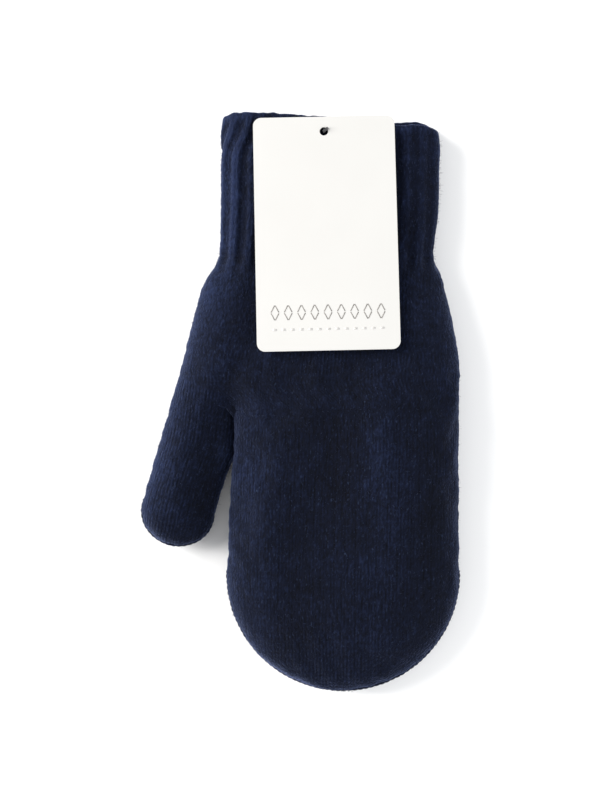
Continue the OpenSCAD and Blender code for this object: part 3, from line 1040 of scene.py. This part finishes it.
def fibres(name, skin, count, seed, rows=None):
    """Short loose fibres that stand out of the brushed face, each a thin closed spike."""
    rng = np.random.default_rng(seed)
    n = skin.normals()
    rows = np.arange(len(skin.points)) if rows is None else rows
    i = rng.choice(rows, count)
    j = rng.integers(0, skin.points.shape[1], count)
    root, out = skin.points[i, j], n[i, j]
    stray = rng.normal(0, 1, (count, 3))
    lay = np.cross(out, stray)
    lay /= np.linalg.norm(lay, axis=1, keepdims=True)
    length = rng.gamma(2.2, 0.42, count).clip(0.5, FIBRE_LONGEST)[:, None]
    bend = rng.uniform(0.3, 1.1, count)[:, None]
    keep = root[:, 2] > 1.2
    root, out, lay, length, bend = (a[keep] for a in (root, out, lay, length, bend))
    mid = root + out * length * 0.42 + lay * length * 0.30 * bend
    end = root + out * length * 0.62 + lay * length * 0.85 * bend
    end[:, 2] = np.maximum(end[:, 2], 0.1)
    side = np.cross(out, lay)
    verts = []
    for level, scale in ((root - out * 0.2, 1.0), (mid, 0.8)):
        for t in np.radians([90, 210, 330]):
            round_it = side * math.cos(t) + out * math.sin(t) * 0.5 + lay * math.sin(t)
            verts.append(level + round_it * FIBRE_WIDTH * scale)
    verts.append(end)
    verts = np.stack(verts, 1)
    total = len(verts)
    base = (np.arange(total) * 7)[:, None]
    pattern = [
        (2, 1, 0), (0, 1, 4), (0, 4, 3), (1, 2, 5), (1, 5, 4), (2, 0, 3), (2, 3, 5),
        (3, 4, 6), (4, 5, 6), (5, 3, 6),
    ]
    faces = np.concatenate([base + np.array(f)[None, :] for f in pattern])
    return new_object(name, verts.reshape(-1, 3), faces.tolist())


def make_fuzz(hand, thumb, cuff):
    obj = fibres("hand_fuzz", hand, 9000, 61)
    finish_piece(obj, fibre_navy, "mitten", "navy_knit")
    obj = fibres("cuff_fuzz", cuff, 3000, 62)
    finish_piece(obj, fibre_navy, "mitten", "navy_knit")
    rows = np.arange(int(THUMB_SINK / THUMB_STEP), len(thumb.points))
    obj = fibres("thumb_fuzz", thumb, 3200, 63, rows)
    finish_piece(obj, fibre_navy, None, "navy_knit")
    blend_thumb(obj)


# ---------------------------------------------------------------- card tag
CARD_T, INK_T = 0.5, 0.04
CARD_TURN = math.radians(1.2)


def on_tag(points):
    """From places on the card, with the hole at the origin and +Y towards the rim, to the row frame."""
    tilt = Vector((0, 0, 1)).rotation_difference(TAG_NORMAL).to_matrix()
    turn = np.array(tilt @ Matrix.Rotation(CARD_TURN, 3, "Z"))
    return points @ turn.T + HOLE


def flat_shapes(name, outlines):
    """Thin closed plates of ink on the card's face, one for each outline."""
    verts, faces = [], []
    for outline in outlines:
        count, start = len(outline), len(verts)
        for z in (CARD_T - 0.01, CARD_T + INK_T):
            verts += [(x, y, z) for x, y in outline]
        low = list(range(start, start + count))
        high = list(range(start + count, start + 2 * count))
        faces.append(low[::-1])
        faces.append(high)
        faces += [
            (low[k], low[(k + 1) % count], high[(k + 1) % count], high[k]) for k in range(count)
        ]
    return new_object(name, on_tag(np.array(verts, float)), faces)


def stroke(start, end, width):
    """A straight printed line with square ends."""
    (x0, y0), (x1, y1) = start, end
    length = math.hypot(x1 - x0, y1 - y0)
    nx, ny = -(y1 - y0) / length * width / 2, (x1 - x0) / length * width / 2
    return [(x0 - nx, y0 - ny), (x1 - nx, y1 - ny), (x1 + nx, y1 + ny), (x0 + nx, y0 + ny)]


LOZENGE_GAP = 0.06  # share of a side left out at each of its ends


def lozenge(x, y, w, h, line):
    """A lozenge drawn in line, as four strokes that stop short of each other at the points."""
    tips = [(x - w / 2, y), (x, y - h / 2), (x + w / 2, y), (x, y + h / 2)]
    sides = []
    for a, b in zip(tips, tips[1:] + tips[:1]):
        dx, dy = (b[0] - a[0]) * LOZENGE_GAP, (b[1] - a[1]) * LOZENGE_GAP
        sides.append(stroke((a[0] + dx, a[1] + dy), (b[0] - dx, b[1] - dy), line))
    return sides


def dress(name, mat):
    """Gives a CAD mesh that is kept as it is its material."""
    materials = frame["nodes"][name].data.materials
    materials.clear()
    materials.append(mat)


def make_tag():
    dress("hang_tag", card_paper)
    # generic printed ornament near the card's free end: lozenges in fine line over a pale dashed rule
    marks = []
    for x in np.linspace(-22.2, 22.2, 9):
        marks += lozenge(x, -77.4, 3.5, 6.6, 0.42)
    obj = flat_shapes("tag_print", marks)
    finish_piece(obj, grey_ink, "hang_tag", "card")
    dashes = [stroke((x - 0.9, -84.6), (x + 0.9, -84.6), 0.9) for x in np.linspace(-22.5, 22.5, 13)]
    obj = flat_shapes("tag_print_pale", dashes)
    finish_piece(obj, pale_ink, "hang_tag", "card")
    dress("tag_pin_bar", clear_nylon)
    dress("tag_pin_paddle", clear_nylon)
    make_filament()
    dress("cuff_elastic", cord_elastic)


FILAMENT_RADIUS = 0.22
PIN_X, PIN_Y = 10.1, 114.29
# the filament's bend: its place along the cuff, and its lower and upper heights seen from the side (y,
# z): out of the cuff, forward under the card, and back up to its hole
FILAMENT_PATH = (
    (PIN_Y, 14.9), (PIN_Y + 0.1, 15.9), (PIN_Y + 0.9, 16.35), (116.8, 16.42), (118.4, 16.42),
    (119.3, 16.46), (119.75, 16.60), (119.86, 16.72), (119.75, 16.84), (119.2, 16.97), (118.0, 17.05),
    (116.4, 17.08), (115.0, 17.12), (PIN_Y + 0.15, 17.40), (PIN_Y, 17.75),
)


def make_filament():
    """The pin's bendy filament from the bar in the cuff to the paddle, made as one fixed tube."""
    y, z, _ = resample(*np.array(FILAMENT_PATH).T, 560)
    path = np.stack([np.full(len(y), PIN_X), y, z], 1)
    along = np.gradient(path, axis=0)
    along /= np.linalg.norm(along, axis=1, keepdims=True)
    side = np.array([1.0, 0.0, 0.0])
    up = np.cross(along, side)
    turn = np.linspace(0, 2 * math.pi, 12, endpoint=False)[None, :, None]
    rings = path[:, None] + FILAMENT_RADIUS * (np.cos(turn) * side + np.sin(turn) * up[:, None])
    obj = lofted("tag_pin_filament", rings, np.full(rings.shape[:2], 0.5), True, True)
    finish_piece(obj, clear_nylon, None, "nylon")
    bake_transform(obj)


# ---------------------------------------------------------------- stage, lights and camera
FLOOR_ALBEDO, FLOOR_REACH = 0.92, 1500
SKY = 0.58
# each light's place, size, power and colour
LIGHTS = (
    ("key", (-1050, 400, 700), 800, 20.0, (1.0, 0.985, 0.96)),
    ("rim", (-1200, 150, 190), 350, 20.0, (1.0, 0.99, 0.97)),
    ("fill", (1000, -300, 560), 900, 14.0, (0.97, 0.985, 1.0)),
)
VIEW_HEIGHT = 600.0
# the width seen at the height of the mitten's edges, about 12 mm up, taken down to the floor
VIEW_SPAN = 341.9 / 0.9801
VIEW_AIM = (0.0, 0.69)
VIEW_TILT = -0.58


def make_stage():
    mat = material("plain_floor", (FLOOR_ALBEDO,) * 3, 0.95, Specular_IOR_Level=0.0)
    corners = [(x * FLOOR_REACH, y * FLOOR_REACH, 0) for x, y in ((-1, -1), (1, -1), (1, 1), (-1, 1))]
    obj = new_object("floor", corners, [(0, 1, 2, 3)])
    obj.data.materials.append(mat)


def area_light(name, place, size, power, colour):
    data = bpy.data.lights.new(name, "AREA")
    data.shape = "DISK"
    data.size = size * METRE
    data.energy = power
    data.color = colour
    obj = bpy.data.objects.new(name, data)
    obj.location = Vector(place) * METRE
    obj.rotation_euler = (-Vector(place)).to_track_quat("-Z", "Y").to_euler()
    bpy.context.scene.collection.objects.link(obj)


def make_view():
    scene = bpy.context.scene
    scene.view_settings.view_transform = "Standard"
    world = bpy.data.worlds.new("studio")
    world.use_nodes = True
    background = world.node_tree.nodes["Background"]
    background.inputs["Color"].default_value = (0.985, 0.99, 1.0, 1)
    background.inputs["Strength"].default_value = SKY
    scene.world = world
    for light in LIGHTS:
        area_light(*light)
    camera = bpy.data.cameras.new("camera")
    camera.lens = camera.sensor_width / 2 / (VIEW_SPAN / 2 / VIEW_HEIGHT)
    camera.clip_start = 0.01
    obj = bpy.data.objects.new("camera", camera)
    turn = Matrix.Rotation(math.radians(-VIEW_TILT), 4, "X")
    away = turn @ Vector((0, 0, VIEW_HEIGHT, 1))
    obj.matrix_world = Matrix.Translation(
        Vector((VIEW_AIM[0], VIEW_AIM[1], 0)) * METRE + Vector(away[:3]) * METRE
    ) @ turn
    scene.collection.objects.link(obj)
    scene.camera = obj


make_stage()
make_view()
hand_skin = make_hand()
thumb_skin = make_thumb()
cuff_skin = make_cuff()
make_seams()
make_fuzz(hand_skin, thumb_skin, cuff_skin)
make_tag()
